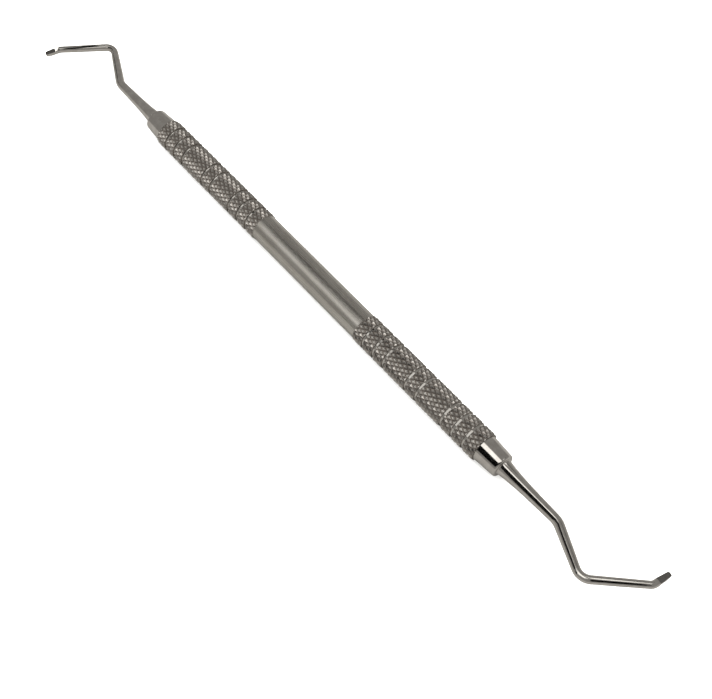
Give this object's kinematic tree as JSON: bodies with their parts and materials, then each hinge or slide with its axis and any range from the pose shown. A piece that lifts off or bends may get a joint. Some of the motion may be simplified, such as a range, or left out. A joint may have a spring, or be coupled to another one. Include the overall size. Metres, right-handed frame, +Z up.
{
  "type": "hand scaler",
  "caption": "Double-ended stainless dental hand scaler: hollow knurled handle with a smooth waist, tapered collars and S-bent shanks ending in short ground blades.",
  "frame": {"origin": "on the plane the instrument lies on, directly below the middle of the handle", "axes": "+X along the handle towards the near working end, +Z up, +Y across, the way the near blade points; the far end is the near one turned half a turn about Z, with its blade shorter and bent less"},
  "size_m": [0.1768, 0.016, 0.0063],
  "materials": {
    "satin_steel": "satin, with cut knurling",
    "polished_steel": "bright polished"
  },
  "bodies": {
    "root": {"grip_tube": "satin_steel", "collar_far": "polished_steel", "collar_near": "polished_steel", "working_end_far": "polished_steel", "working_end_near": "polished_steel"}
  },
  "joints": []
}
